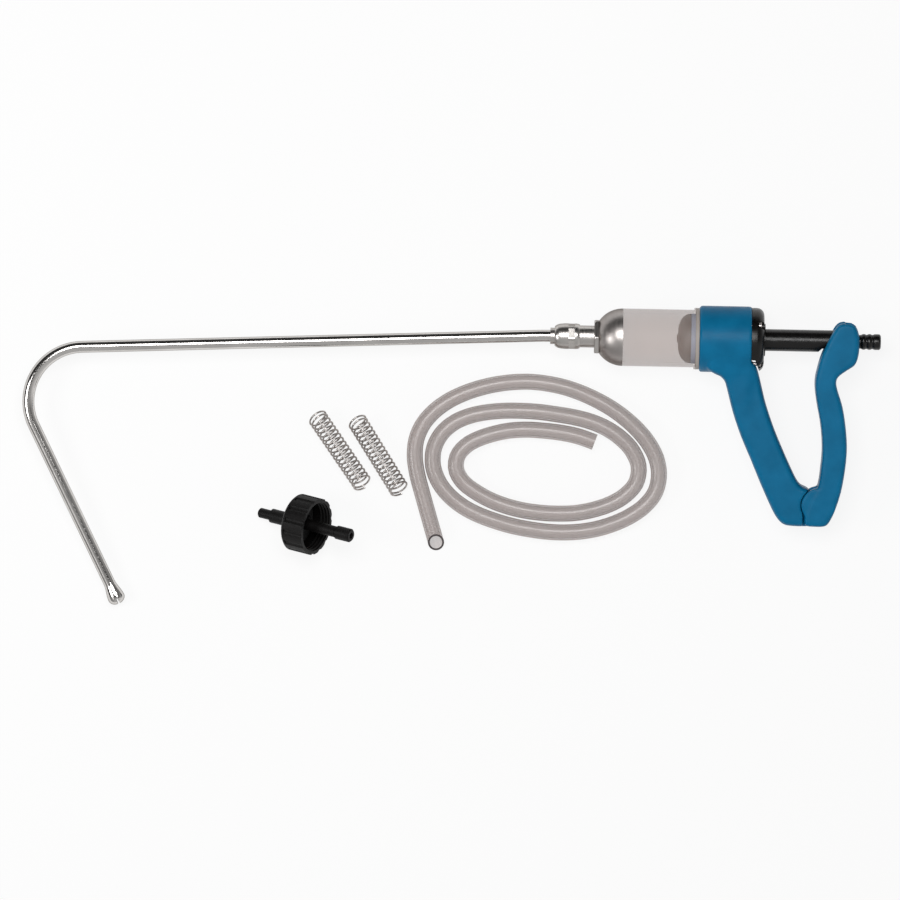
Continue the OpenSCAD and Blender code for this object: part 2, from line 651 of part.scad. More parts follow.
module rear_cap_screws() {
    color([0.80, 0.80, 0.82]) on_gun() for (i = [0 : screw_count - 1])
        rotate([screw_turn - 90 * i, 0, 0]) translate([0, 0, screw_ring_r]) difference() {
            union() {
                rod_x(collar_l - screw_l + free_gap, screw_seat, screw_d);
                rod_x(screw_seat, screw_seat + screw_head_t, screw_head_d);
            }
            translate([screw_seat + screw_head_t / 2, -screw_head_d, -screw_slot_w / 2])
                cube([screw_head_t, 2 * screw_head_d, screw_slot_w]);
        }
}
module rod_seal() {
    color([0.25, 0.25, 0.25]) on_gun()
        ring_x(collar_l, collar_l + seal_groove_t, seal_groove_d, rod_d + 2 * run_gap);
}

// Plunger
module plunger_rod() {
    color([0.06, 0.06, 0.07]) on_gun() difference() {
        union() {
            turned([[piston_back, 0], [piston_back, rod_d / 2], [rod_end - rod_chamfer, rod_d / 2],
                    [rod_end, rod_d / 2 - rod_chamfer], [rod_end, 0]]);
            translate([trunnion_back, 0, 0]) pin_z(trunnion_half_l, trunnion_d);
        }
        linear_extrude(height = 2 * rod_d, center = true)
            polygon([[rod_l, -rod_d], [rod_end + overrun, -rod_d],
                     [rod_end + overrun, rod_flat_depth - rod_d / 2],
                     [rod_l + rod_flat_depth, rod_flat_depth - rod_d / 2], [rod_l, -rod_d / 2]]);
        rod_x(piston_back - overrun, rod_end + overrun, barb_bore_d);
        rod_x(piston_back - overrun, piston_back + piston_tail_l, rod_bore_d);
        rod_x(rod_end - barb_seat_l, rod_end + overrun, barb_seat_d);
    }
}
module piston() {
    r = bore_d / 2 - piston_gap;
    groove_r = r - ring_groove_depth;
    shoulder = ring_front - piston_land;
    color([0.30, 0.28, 0.27]) on_gun() difference() {
        turned(concat([[piston_front, 0]],
                      [for (t = [0 : curve_step : 90])
                          [shoulder - piston_nose_l * cos(t), nose_face_r + (r - nose_face_r) * sin(t)]],
                      [[ring_front - ring_groove_gap, r], [ring_front - ring_groove_gap, groove_r],
                       [ring_back + ring_groove_gap, groove_r], [ring_back + ring_groove_gap, r],
                       [piston_back, r], [piston_back, rod_bore_d / 2 - slip_gap],
                       [piston_back + piston_tail_l - free_gap, rod_bore_d / 2 - slip_gap],
                       [piston_back + piston_tail_l - free_gap, 0]]));
        rod_x(piston_front - overrun, piston_back + piston_tail_l, inlet_port_d);
        rod_x(piston_front - overrun, piston_front + inlet_head_t, inlet_head_d + 2 * free_gap);
        rod_x(piston_front + inlet_head_t + inlet_spring_l / 2, piston_back, inlet_cup_d);
    }
}
module piston_ring() {
    color([0.72, 0.76, 0.82]) on_gun()
        ring_x(ring_front, ring_back, bore_d - 2 * run_gap,
               bore_d - 2 * piston_gap - 2 * ring_groove_depth + 2 * slip_gap);
}
module inlet_valve() {
    head_back = piston_front + inlet_head_t;
    cup_front = head_back + inlet_spring_l / 2;
    stem_back = cup_front + inlet_spring_l + inlet_retainer_t;
    color([0.45, 0.40, 0.36]) on_gun() {
        turned([[piston_front - inlet_head_t / 2, 0], [piston_front - inlet_head_t / 2, inlet_head_d / 3],
                [piston_front, inlet_head_d / 2], [head_back, inlet_head_d / 2],
                [head_back, inlet_stem_d / 2], [stem_back - inlet_retainer_t, inlet_stem_d / 2],
                [stem_back - inlet_retainer_t, inlet_cup_d / 2 - moving_gap],
                [stem_back, inlet_cup_d / 2 - moving_gap], [stem_back, 0]]);
    }
}
module inlet_valve_spring() {
    cup_front = piston_front + inlet_head_t + inlet_spring_l / 2;
    span = inlet_spring_l - valve_wire_d;
    coil_r = inlet_cup_d / 2 - valve_wire_d / 2 - free_gap;
    color([0.75, 0.75, 0.77]) on_gun() translate([cup_front + valve_wire_d / 2, 0, 0]) rotate([0, 90, 0])
        wire(helix_frames(coil_r, valve_coils, kink_rings, function (t) span * t / valve_coils),
             valve_wire_d / 2, kink_sides);
}

// A stepped hose tail from a start place along X
function barb_profile(start) = let (r = barb_d / 2, root = r * barb_root_share)
    [for (k = [0 : barb_count - 1]) let (x = start + k * barb_pitch)
        each [[x, root], [x, r], [x + barb_land, r]]];
module hose_barb() {
    start = rod_end + barb_flange_t;
    first = start + barb_relief;
    tail = first + barb_count * barb_pitch;
    root = barb_d / 2 * barb_root_share;
    color([0.06, 0.06, 0.07]) on_gun() difference() {
        turned(concat([[rod_end - barb_seat_l + free_gap, 0],
                       [rod_end - barb_seat_l + free_gap, barb_seat_d / 2 - run_gap],
                       [rod_end, barb_seat_d / 2 - run_gap], [rod_end, neck_d / 2], [start, neck_d / 2],
                       [start, root]],
                      barb_profile(first),
                      [[tail, root], [tail + barb_nose_l, root * barb_nose_share], [tail + barb_nose_l, 0]]));
        rod_x(rod_end - barb_seat_l - overrun, barb_end + overrun, barb_bore_d);
    }
}

// Lever and its hinge
module trigger_lever() {
    slot_l = slot_top - slot_bottom;
    color([0.10, 0.41, 0.59]) on_gun() at_pivot() difference() {
        union() {
            moulded(closed_curve(lever_shares * pivot_drop, outline_steps), grip_w / 2,
                    lever_edge_in, lever_edge_up);
            pin_z(grip_w / 2 - free_gap, 2 * hub_r);
        }
        pin_z(lug_half_w + free_gap, 2 * (lug_r + 2 * free_gap));
        translate([-grip_w - hub_gap, -grip_w, -lug_half_w - free_gap])
            cube([grip_w + hub_gap, grip_w + hub_r + hub_gap, 2 * (lug_half_w + free_gap)]);
        translate([0, 0, -grip_w / 2 + pin_far_inset])
            cylinder(h = grip_w - pin_far_inset - pin_near_inset, d = pivot_pin_d);
        translate([0, 0, -grip_w]) cylinder(h = grip_w, d = pivot_pin_d);
        translate([-grip_w, pivot_drop - fork_floor, -fork_half_w])
            cube([3 * grip_w, 3 * grip_w, 2 * fork_half_w]);
        rotate([0, 0, -trunnion_lean])
            translate([-trunnion_slot_w / 2, slot_bottom, -trunnion_slot_half_l])
                cube([trunnion_slot_w, slot_l, 2 * trunnion_slot_half_l]);
    }
}
module pivot_pin() {
    color([0.72, 0.72, 0.74]) on_gun() at_pivot() translate([0, 0, -grip_w / 2 + pin_far_inset])
        cylinder(h = grip_w - pin_far_inset - pin_near_inset, d = pivot_pin_d);
}
module return_spring() {
    rise = spring_turns * spring_pitch;
    coil = helix_frames(spring_r, spring_turns, kink_rings, function (t) t * spring_pitch - rise / 2);
    turn = function (f)
        let (c = [f[0][1], -f[0][0], f[0][2]], o = [f[1][1], -f[1][0], f[1][2]]) [c, o, f[2]];
    first = coil[0];
    last = coil[len(coil) - 1];
    legs = concat([[first[0] + [0, -spring_leg_back, 0], first[1], first[2]]], coil,
                  [[last[0] + [-spring_leg_up, 0, 0], last[1], last[2]]]);
    color([0.70, 0.70, 0.72]) on_gun() at_pivot()
        wire([for (f = legs) turn(f)], spring_wire_d / 2, kink_sides);
}

// Loose fittings on the table
hose_fine = open_curve(hose_points, 6);
hose_l = curve_l(hose_fine);
hose_rings = round(hose_l / hose_ring_step);
function walk(p, i, left) = i >= len(p) - 1 ? p[len(p) - 1]
    : let (d = norm(p[i + 1] - p[i]))
        left <= d ? p[i] + (p[i + 1] - p[i]) * left / d : walk(p, i + 1, left - d);
hose_route = [for (k = [0 : hose_rings]) walk(hose_fine, 0, hose_l * k / hose_rings)];
hose_frames = [for (k = [0 : hose_rings]) let (
    t = unit(hose_route[min(k + 1, hose_rings)] - hose_route[max(k - 1, 0)]))
    [[hose_route[k][0], hose_route[k][1], hose_d / 2], [t[1], -t[0], 0], [0, 0, 1]]];
hose_far = 3 * hose_d;
hose_self_gap = min([for (i = [0 : 2 : len(hose_fine) - 1], j = [i + 2 : 2 : len(hose_fine) - 1])
    if (abs(j - i) > len(hose_fine) * hose_far / hose_l) norm(hose_fine[i] - hose_fine[j])]) - hose_d;
echo(hose_l = hose_l, hose_rings = hose_rings, hose_self_gap = hose_self_gap);
module hose() {
    color([0.80, 0.76, 0.75, 0.5]) on_table()
        hollow_wire(hose_frames, hose_d / 2, hose_bore_d / 2, hose_sides);
}
kink_pitch = (kink_l - kink_wire_d - 2 * kink_end_pitch) / (kink_turns - 2);
function kink_rise(t) = t < 1 ? t * kink_end_pitch
    : t > kink_turns - 1 ? kink_l - kink_wire_d - (kink_turns - t) * kink_end_pitch
    : kink_end_pitch + (t - 1) * kink_pitch;
kink_rises = [for (t = [0 : 1 / kink_rings : kink_turns - 1]) kink_rise(t + 1) - kink_rise(t)];
echo(kink_self_gap = min(kink_rises) - kink_wire_d);
module kink_spring(at, turn) {
    color([0.70, 0.70, 0.70]) on_table() translate([at[0], at[1], kink_r + kink_wire_d / 2])
        rotate([0, 0, turn]) rotate([0, 90, 0])
            wire(helix_frames(kink_r, kink_turns, kink_rings, function (t) kink_rise(t)),
                 kink_wire_d / 2, kink_sides);
}
module hose_spring_1() { kink_spring(kink_1_at, kink_turn_1); }
module hose_spring_2() { kink_spring(kink_2_at, kink_turn_2); }

// The cap stands tipped on its barb and back edge; its own axis runs along X with the mouth at zero
module at_cap() {
    on_table() translate([draw_at[0], draw_at[1], draw_lift])
        rotate([0, 0, draw_heading]) rotate([0, -draw_tilt, 0]) children();
}
module draw_off_cap() {
    inner_r = draw_cap_r - draw_cap_wall;
    floor_x = -draw_cap_h + draw_cap_wall;
    color([0.06, 0.06, 0.06]) at_cap() difference() {
        turned(concat([[-draw_cap_h, 0], [-draw_cap_h, draw_cap_r - collar_edge],
                       [-draw_cap_h + collar_edge, draw_cap_r], [0, draw_cap_r], [0, inner_r]],
                      [for (k = [0 : thread_count - 1]) let (x = -(k + 1) * thread_pitch)
                          each [[x + thread_pitch / 2, inner_r],
                                [x + thread_pitch / 4, inner_r - thread_depth], [x, inner_r]]],
                      [[floor_x, inner_r], [floor_x, 0]]));
        for (i = [0 : draw_flutes - 1]) rotate([360 * i / draw_flutes, 0, 0])
            translate([0, 0, draw_cap_r + draw_flute_d / 2 - draw_flute_depth])
                rod_x(-draw_cap_h + draw_cap_wall, overrun, draw_flute_d);
        rod_x(-draw_cap_h - overrun, floor_x + overrun, draw_stem_d + 2 * slip_gap);
        rotate([vent_turn, 0, 0]) translate([0, 0, vent_out])
            rod_x(-draw_cap_h - overrun, floor_x + overrun, vent_bore_d);
    }
}
module cap_gasket() {
    floor_x = -draw_cap_h + draw_cap_wall;
    color([0.15, 0.15, 0.15]) at_cap() difference() {
        ring_x(floor_x, floor_x + gasket_t, 2 * (draw_cap_r - draw_cap_wall - thread_depth),
               draw_flange_d + 2 * slip_gap);
        rotate([vent_turn, 0, 0]) translate([0, 0, vent_out])
            rod_x(floor_x - overrun, floor_x + gasket_t + overrun, vent_d);
    }
}
module draw_off_fitting() {
    floor_x = -draw_cap_h + draw_cap_wall;
    back = -draw_cap_h - draw_barb_l;
    color([0.06, 0.06, 0.06]) at_cap() difference() {
        turned([[back, 0], [back, draw_tip_d / 2 - draw_chamfer], [back + draw_chamfer, draw_tip_d / 2],
                [back + draw_thin_l - draw_chamfer, draw_tip_d / 2], [back + draw_thin_l, draw_step_d / 2],
                [-draw_cap_h, draw_step_d / 2],
                [-draw_cap_h, draw_stem_d / 2], [floor_x, draw_stem_d / 2],
                [floor_x, draw_flange_d / 2], [floor_x + draw_flange_t, draw_flange_d / 2],
                [floor_x + draw_flange_t, draw_stem_d / 2], [draw_stem_l - draw_stem_end_l, draw_stem_d / 2],
                [draw_stem_l - draw_stem_end_l + draw_chamfer, draw_stem_end_d / 2],
                [draw_stem_l - draw_chamfer, draw_stem_end_d / 2],
                [draw_stem_l, draw_stem_end_d / 2 - draw_chamfer], [draw_stem_l, 0]]);
        rod_x(back - overrun, draw_stem_l + overrun, draw_bore_d);
    }
}

handle_body();
barrel();
barrel_front_seal();
barrel_rear_seal();
nose_dome();
outlet_stem();
lock_nut();
outlet_seat();
outlet_valve();
outlet_valve_spring();
union_nut();
nozzle_collar();
nozzle_tube();
nozzle_tip();
rear_cap();
rear_cap_screws();
rod_seal();
plunger_rod();
piston();
piston_ring();
inlet_valve();
inlet_valve_spring();
hose_barb();
trigger_lever();
pivot_pin();
return_spring();
hose();
hose_spring_1();
hose_spring_2();
draw_off_cap();
draw_off_fitting();
cap_gasket();
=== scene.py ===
# %% [markdown]
# # Livestock drencher
# A hand pump that doses sheep and cattle: a moulded handle and lever, a clear barrel with a plunger,
# a chromed nozzle with a hook, and the loose fittings that come with it, laid out on a pale table.
# The CAD model is loaded as a fixed frame. Each visible piece is made again here with smooth
# surfaces and real finishes, exactly where the CAD model has it.

# %% Load the frame
import json
import math

import bmesh
import bpy
import numpy as np
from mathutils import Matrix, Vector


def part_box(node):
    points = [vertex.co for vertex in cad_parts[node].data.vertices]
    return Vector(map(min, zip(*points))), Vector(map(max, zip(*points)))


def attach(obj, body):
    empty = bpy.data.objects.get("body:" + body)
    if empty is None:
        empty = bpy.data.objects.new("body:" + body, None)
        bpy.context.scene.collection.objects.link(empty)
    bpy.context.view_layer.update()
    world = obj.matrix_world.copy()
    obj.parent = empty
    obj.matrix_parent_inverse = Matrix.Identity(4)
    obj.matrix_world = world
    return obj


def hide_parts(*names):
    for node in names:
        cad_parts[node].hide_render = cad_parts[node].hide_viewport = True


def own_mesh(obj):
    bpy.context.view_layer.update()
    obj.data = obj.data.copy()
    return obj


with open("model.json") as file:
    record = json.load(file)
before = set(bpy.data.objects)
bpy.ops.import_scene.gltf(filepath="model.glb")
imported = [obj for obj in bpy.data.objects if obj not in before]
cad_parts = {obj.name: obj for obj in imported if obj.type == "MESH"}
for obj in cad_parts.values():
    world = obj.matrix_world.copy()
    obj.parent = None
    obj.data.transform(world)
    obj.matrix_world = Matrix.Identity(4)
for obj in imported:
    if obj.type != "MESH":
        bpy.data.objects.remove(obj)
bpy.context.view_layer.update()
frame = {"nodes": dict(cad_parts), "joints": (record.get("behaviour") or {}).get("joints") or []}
nodes = frame["nodes"]
print("CAD nodes:", len(nodes))

# %% [markdown]
# ## Where things are
# The gun lies on its side. Its barrel axis runs along X, and the whole gun is rolled a little about
# that axis because the thick collar and the foot of the grip both touch the table. The lever's
# hinge axis gives the roll, so the places below follow the frame instead of being typed twice.

# %% The gun's own frame
MM = 0.001
COLLAR_L = 42.0
BACK_WALL = 9.0
hinge = next(j for j in frame["joints"] if j["name"] == "lever_hinge")
roll = math.atan2(-hinge["axis"][1], hinge["axis"][2])
barrel_low, barrel_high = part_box("barrel")
seal_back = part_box("barrel_rear_seal")[1].x
axis_y = (barrel_low.y + barrel_high.y) / 2
axis_z = (barrel_low.z + barrel_high.z) / 2
gun_origin = np.array([seal_back - (COLLAR_L - BACK_WALL) * MM, axis_y, axis_z])


def turn_x(angle):
    """Rotation about X: y and z are mixed by the cosine and sine of the angle."""
    c, s = math.cos(angle), math.sin(angle)
    return np.array([[1, 0, 0], [0, c, -s], [0, s, c]])


def on_gun(points):
    """Millimetres from the collar's front on the barrel axis, rolled with the gun, as metres."""
    return np.asarray(points, float) @ turn_x(roll).T * MM + gun_origin


print("roll of the gun in degrees:", round(math.degrees(roll), 3), "collar front:", gun_origin.round(5))

# %% [markdown]
# ## Camera
# The photograph looks straight down on the table from far away, so the camera hangs twelve metres up
# with a very long lens. A camera without perspective would look much the same, but a real lens
# keeps the small change of size with height. It is turned by one degree, because the gun lies
# one degree off level in the picture.

# %% Camera above the table
VIEW_WIDTH = 0.72
CAMERA_RISE = 12.0
CAMERA_TURN = 1.11
FROM_COLLAR = np.array([-0.1974, -0.0929, CAMERA_RISE])
SENSOR = 36.0


def add_object(name, data):
    """A new object for a mesh, a lamp or a camera, put into the scene at the origin."""
    thing = bpy.data.objects.new(name, data)
    bpy.context.scene.collection.objects.link(thing)
    return thing


camera_data = bpy.data.cameras.new("camera")
camera_data.sensor_width = SENSOR
camera_data.lens = SENSOR * CAMERA_RISE / VIEW_WIDTH
camera = add_object("camera", camera_data)
camera.location = gun_origin + FROM_COLLAR
camera.rotation_euler = (0, 0, math.radians(CAMERA_TURN))
bpy.context.scene.camera = camera
print("lens in millimetres:", camera_data.lens)

# %% [markdown]
# ## Grids
# Every new surface is a grid of points: one direction runs along the piece and the other runs round
# it. The faces join each point to its neighbours. Such pieces could be modelled by hand, but a grid
# is worked out as whole arrays from a formula, and its faces come out even. Corners sharper than
# an angle keep a crisp edge, and all others are shaded smooth.


# %% Joining and shading
def join_points(mesh, same, thin, turn_outwards):
    """Merges points nearer than one distance, drops edges shorter than another, and may turn faces out."""
    work = bmesh.new()
    work.from_mesh(mesh)
    bmesh.ops.remove_doubles(work, verts=work.verts, dist=same)
    bmesh.ops.dissolve_degenerate(work, edges=work.edges, dist=thin)
    if turn_outwards:
        bmesh.ops.recalc_face_normals(work, faces=work.faces)
    work.to_mesh(mesh)
    work.free()


def shade(mesh, crease):
    """Smooth shading, with a crisp edge where two faces meet at more than the crease angle."""
    mesh.shade_smooth()
    mesh.set_sharp_from_angle(angle=math.radians(crease))


print("loose points of the barrel's CAD mesh:", len(nodes["barrel"].data.vertices))


# %% Pieces from grids
def grid_faces(rows, columns, close_rows):
    """Quads of a grid: each joins a point to the next in its row and in the next row.

    Columns run round the piece, so they always close. Rows close when the piece is a ring of rings.
    """
    index = np.arange(rows * columns).reshape(rows, columns)
    down = np.roll(index, -1, 0)
    quads = np.stack([index, np.roll(index, -1, 1), np.roll(down, -1, 1), down], -1)
    return quads[: rows if close_rows else rows - 1].reshape(-1, 4).tolist()


def add_piece(name, grid, place, crease, close_rows=True):
    """A mesh from a grid of points, put in its place, its doubles merged, smooth below the crease."""
    rows, columns = grid.shape[:2]
    mesh = bpy.data.meshes.new(name)
    mesh.from_pydata(place(grid.reshape(-1, 3)).tolist(), [], grid_faces(rows, columns, close_rows))
    join_points(mesh, same=1e-7, thin=1e-8, turn_outwards=True)
    shade(mesh, crease)
    return add_object(name, mesh)


def wear(piece, body, finish, slot, *replaced):
    """Gives a piece its finish and its body, and hides the CAD nodes it stands for. The slot is not used."""
    piece.data.materials.clear()
    piece.data.materials.append(finish)
    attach(piece, body)
    if replaced:
        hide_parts(*replaced)
    return piece


print("faces of a closed grid of 3 by 4 points:", len(grid_faces(3, 4, True)))

# %% [markdown]
# ## Finishes
# Moulded plastic and worked metal are never one flat colour. Each finish starts from two close colours
# and gets small changes over the surface: cloudy patches, roughness that wanders, and a fine bump.
# Painted pictures could do this too, but patterns worked out from Object coordinates need no files and
# stay on the piece when it moves. Numbers that are the same all over sit on the shader.


# %% Colours
def srgb(*levels):
    """Screen levels from 0 to 255 as linear colour, by the usual curve."""
    v = np.asarray(levels, float) / 255
    linear = np.where(v <= 0.04045, v / 12.92, ((v + 0.055) / 1.055) ** 2.4)
    return (*linear, 1.0)


def start_finish(name, **sockets):
    """A new material with its shader's constant sockets set by name."""
    material = bpy.data.materials.new(name)
    material.use_nodes = True
    shader = material.node_tree.nodes["Principled BSDF"]
    for socket, value in sockets.items():
        shader.inputs[socket.replace("_", " ")].default_value = value
    return material, material.node_tree, shader


print("middle grey of the screen as linear colour:", np.round(srgb(128)[0], 3))

# %% Patterns
NOISE_LOW, NOISE_HIGH = 0.3, 0.7


def noise_of(tree, scale, detail=4.0, stretch=(1, 1, 1)):
    """Noise on Object coordinates; a stretch below one draws its patches out along that axis."""
    place = tree.nodes.new("ShaderNodeTexCoord")
    mapping = tree.nodes.new("ShaderNodeMapping")
    mapping.inputs["Scale"].default_value = stretch
    noise = tree.nodes.new("ShaderNodeTexNoise")
    noise.inputs["Scale"].default_value = scale
    noise.inputs["Detail"].default_value = detail
    tree.links.new(place.outputs["Object"], mapping.inputs["Vector"])
    tree.links.new(mapping.outputs["Vector"], noise.inputs["Vector"])
    return noise.outputs["Fac"]


def cloudy_colour(tree, shader, scale, dark, light):
    """Base colour in patches: a ramp from dark to light over the middle part of a noise."""
    ramp = tree.nodes.new("ShaderNodeValToRGB")
    for element, position, colour in zip(ramp.color_ramp.elements, (NOISE_LOW, NOISE_HIGH), (dark, light)):
        element.position = position
        element.color = colour
    tree.links.new(noise_of(tree, scale), ramp.inputs["Fac"])
    tree.links.new(ramp.outputs["Color"], shader.inputs["Base Color"])


print("the noise is used from", NOISE_LOW, "to", NOISE_HIGH)


# %% Ranges and bumps
def range_of(tree, value, low, high, start=NOISE_LOW, end=NOISE_HIGH):
    """A straight line from low, where the value is at its start, to high at its end, and level beyond."""
    node = tree.nodes.new("ShaderNodeMapRange")
    for socket, number in {"From Min": start, "From Max": end, "To Min": low, "To Max": high}.items():
        node.inputs[socket].default_value = number
    tree.links.new(value, node.inputs["Value"])
    return node.outputs["Result"]


def bump_of(tree, shader, height, distance):
    """A bump of a given height in metres."""
    bump = tree.nodes.new("ShaderNodeBump")
    bump.inputs["Distance"].default_value = distance
    bump.inputs["Strength"].default_value = 1.0
    tree.links.new(height, bump.inputs["Height"])
    tree.links.new(bump.outputs["Normal"], shader.inputs["Normal"])


print("finishes so far:", len(bpy.data.materials))

# %% [markdown]
# ## Moulded plastic and rubber
# Handle and lever are moulded in blue plastic with a dull skin. Rod, rear cap and barb are of a
# harder black plastic, and the draw-off cap is duller. The piston and its ring show only through the
# barrel. They differ in a few numbers, so one function makes them all.

# %% Plastics and rubbers
WANDER_SCALE = 4


def moulded_finish(name, dark, light, rough, patch=60.0, grain=2200.0, depth=2e-5, **sockets):
    """Moulded plastic: cloudy colour, roughness that wanders and a fine grain."""
    material, tree, shader = start_finish(name, **sockets)
    cloudy_colour(tree, shader, patch, dark, light)
    wander = noise_of(tree, patch * WANDER_SCALE)
    tree.links.new(range_of(tree, wander, *rough), shader.inputs["Roughness"])
    bump_of(tree, shader, noise_of(tree, grain, detail=2.0), depth)
    return material


blue_moulding = moulded_finish("blue_moulding", srgb(8, 100, 140), srgb(13, 110, 153), (0.32, 0.44),
                               Specular_IOR_Level=0.11)
black_moulding = moulded_finish("black_moulding", srgb(9, 8, 8), srgb(17, 15, 15), (0.24, 0.34),
                                Specular_IOR_Level=0.4)
cap_moulding = moulded_finish("cap_moulding", srgb(9, 8, 8), srgb(15, 13, 13), (0.46, 0.56),
                              Specular_IOR_Level=0.2)
black_rubber = moulded_finish("black_rubber", srgb(20, 20, 20), srgb(30, 29, 29), (0.6, 0.75))
piston_moulding = moulded_finish("piston_moulding", srgb(160, 160, 160), srgb(178, 178, 177), (0.35, 0.5))
ring_seal = moulded_finish("ring_seal", srgb(205, 220, 242), srgb(216, 230, 250), (0.45, 0.6))
pale_moulding = moulded_finish("pale_moulding", srgb(214, 210, 202), srgb(226, 223, 216), (0.4, 0.5))
print("finishes so far:", len(bpy.data.materials))

# %% [markdown]
# ## Metal
# The dome is satin, the nozzle is chromed, and nuts and springs are duller. Turning and drawing leave
# fine lines, so the noise is drawn out round or along the piece. In a studio the edges of chrome
# are dark, because they mirror a dark room. Here they would mirror the white table instead, so the
# shader's tint, which for metal acts at grazing angles alone, is dark.

# %% Metals
EDGE_TINT = (0.35, 0.34, 0.33, 1.0)
ROUND, SHORT_ROUND, ALONG, EVEN = (1, 0.02, 0.02), (1, 0.05, 0.05), (0.02, 1, 1), (1, 1, 1)


def metal_finish(name, dark, light, rough, stretch, patch=45.0, grain=900.0, depth=1e-5):
    """Worked metal: fine lines drawn out by the stretch, in roughness and bump, over a cloudy colour."""
    material, tree, shader = start_finish(name, Metallic=1.0, Specular_Tint=EDGE_TINT)
    lines = noise_of(tree, grain, detail=3.0, stretch=stretch)
    cloudy_colour(tree, shader, patch, dark, light)
    tree.links.new(range_of(tree, lines, *rough), shader.inputs["Roughness"])
    bump_of(tree, shader, lines, depth)
    return material


satin_metal = metal_finish("satin_metal", srgb(172, 166, 163), srgb(192, 187, 184), (0.32, 0.44), ROUND)
chrome = metal_finish("chrome", srgb(206, 203, 200), srgb(222, 219, 216), (0.12, 0.19), ALONG)
nut_metal = metal_finish("nut_metal", srgb(190, 186, 182), srgb(210, 206, 202), (0.26, 0.36), SHORT_ROUND)
spring_steel = metal_finish("spring_steel", srgb(176, 170, 167), srgb(198, 192, 188), (0.24, 0.36), EVEN)
print("finishes so far:", len(bpy.data.materials))

# %% [markdown]
# ## Clear vinyl
# The hose is clear vinyl with a smoky tone. It could be refracting glass, but the walls of a thin tube
# then need many bounces of light and come out dark and grainy. So each wall is a thin veil: face
# on it covers little of what lies behind, and at a grazing angle it covers much. The bore gets a
# finish of its own with less cover at the edge, because its edge hardly shows on a real hose.

# %% Clear plastics as a veil
CLEAR_PATCH, CLEAR_WANDER, CLEAR_RIPPLE = 30.0, 160.0, 120.0
CLEAR_SHADE = 0.86
RIPPLE_DEPTH = 2e-5


def clear_finish(name, tint, face_cover, edge_cover, rough, turn=(0.3, 0.75), **sockets):
    """Clear plastic: its cover runs from face to edge value with how far the surface faces away.

    The turn gives where on the way from facing to grazing that change starts and ends.
    """
    material, tree, shader = start_finish(name, **sockets)
    low = tuple(CLEAR_SHADE * c for c in tint[:3]) + (1.0,)
    cloudy_colour(tree, shader, CLEAR_PATCH, low, tint)
    tree.links.new(range_of(tree, noise_of(tree, CLEAR_WANDER), *rough), shader.inputs["Roughness"])
    bump_of(tree, shader, noise_of(tree, CLEAR_RIPPLE, detail=2.0), RIPPLE_DEPTH)
    facing = tree.nodes.new("ShaderNodeLayerWeight")
    facing.inputs["Blend"].default_value = 0.5
    cover = range_of(tree, facing.outputs["Facing"], face_cover, edge_cover, *turn)
    tree.links.new(cover, shader.inputs["Alpha"])
    return material, tree, shader, cover


GLOSS_COAT = {"Coat_Weight": 1.0, "Coat_IOR": 2.2, "Coat_Roughness": 0.28, "Specular_IOR_Level": 0.2}
VINYL = srgb(122, 84, 68)
VINYL_COVER, SKIN_EDGE, BORE_EDGE = 0.26, 0.9, 0.36
clear_vinyl = clear_finish("clear_vinyl", VINYL, VINYL_COVER, SKIN_EDGE, (0.1, 0.2), **GLOSS_COAT)[0]
clear_bore = clear_finish("clear_bore", VINYL, VINYL_COVER, BORE_EDGE, (0.3, 0.4), Specular_IOR_Level=0.1)[0]
cut_vinyl = moulded_finish("cut_vinyl", srgb(52, 44, 46), srgb(74, 64, 64), (0.3, 0.4))
print("finishes so far:", len(bpy.data.materials))

# %% [markdown]
# ## Clear barrel
# The barrel's wall has an outer skin and a bore, and on the real barrel only the outer edge shows. So
# more cover at the edge goes only to points farther from the axis than the middle of the wall. Every
# piece sits at the origin, so its Object coordinates are metres in the frame, and the distance is
# easily worked out. The flange at the barrel's rear end is thick: it covers what is behind it and
# has a tone of its own.

# %% Barrel finish with its flange
BARREL_COVER = 0.175
BARREL_EDGE_COVER = 0.33
BARREL_MID_R = 21.5
FLANGE_X = gun_origin[0] - np.array([2.9, 2.7]) * MM
FLANGE_TONE = srgb(172, 164, 157)


def math_of(tree, operation, first, second):
    """Two values put together by a named operation; the second may be a number."""
    node = tree.nodes.new("ShaderNodeMath")
    node.operation = operation
    tree.links.new(first, node.inputs[0])
    if isinstance(second, float):
        node.inputs[1].default_value = second
    else:
        tree.links.new(second, node.inputs[1])
    return node.outputs[0]


clear_barrel, tree, shader, cover = clear_finish(
    "clear_barrel", srgb(140, 96, 70), BARREL_COVER, BARREL_EDGE_COVER, (0.32, 0.42), turn=(0.45, 0.55),
    Specular_IOR_Level=0.15)
place = tree.nodes.new("ShaderNodeTexCoord")
split = tree.nodes.new("ShaderNodeSeparateXYZ")
tree.links.new(place.outputs["Object"], split.inputs[0])
across = math_of(tree, "SUBTRACT", split.outputs["Y"], axis_y)
height = math_of(tree, "SUBTRACT", split.outputs["Z"], axis_z)
square = math_of(tree, "ADD", math_of(tree, "MULTIPLY", across, across),
                 math_of(tree, "MULTIPLY", height, height))
outer_skin = math_of(tree, "GREATER_THAN", square, (BARREL_MID_R * MM) ** 2)
veil = math_of(tree, "MAXIMUM", math_of(tree, "MULTIPLY", cover, outer_skin), BARREL_COVER)
on_flange = range_of(tree, split.outputs["X"], 0.0, 1.0, *FLANGE_X)
tree.links.new(math_of(tree, "MAXIMUM", veil, on_flange), shader.inputs["Alpha"])
flange_tone = tree.nodes.new("ShaderNodeMix")
flange_tone.data_type = "RGBA"
tree.links.new(on_flange, flange_tone.inputs["Factor"])
tree.links.new(shader.inputs["Base Color"].links[0].from_socket, flange_tone.inputs["A"])
flange_tone.inputs["B"].default_value = FLANGE_TONE
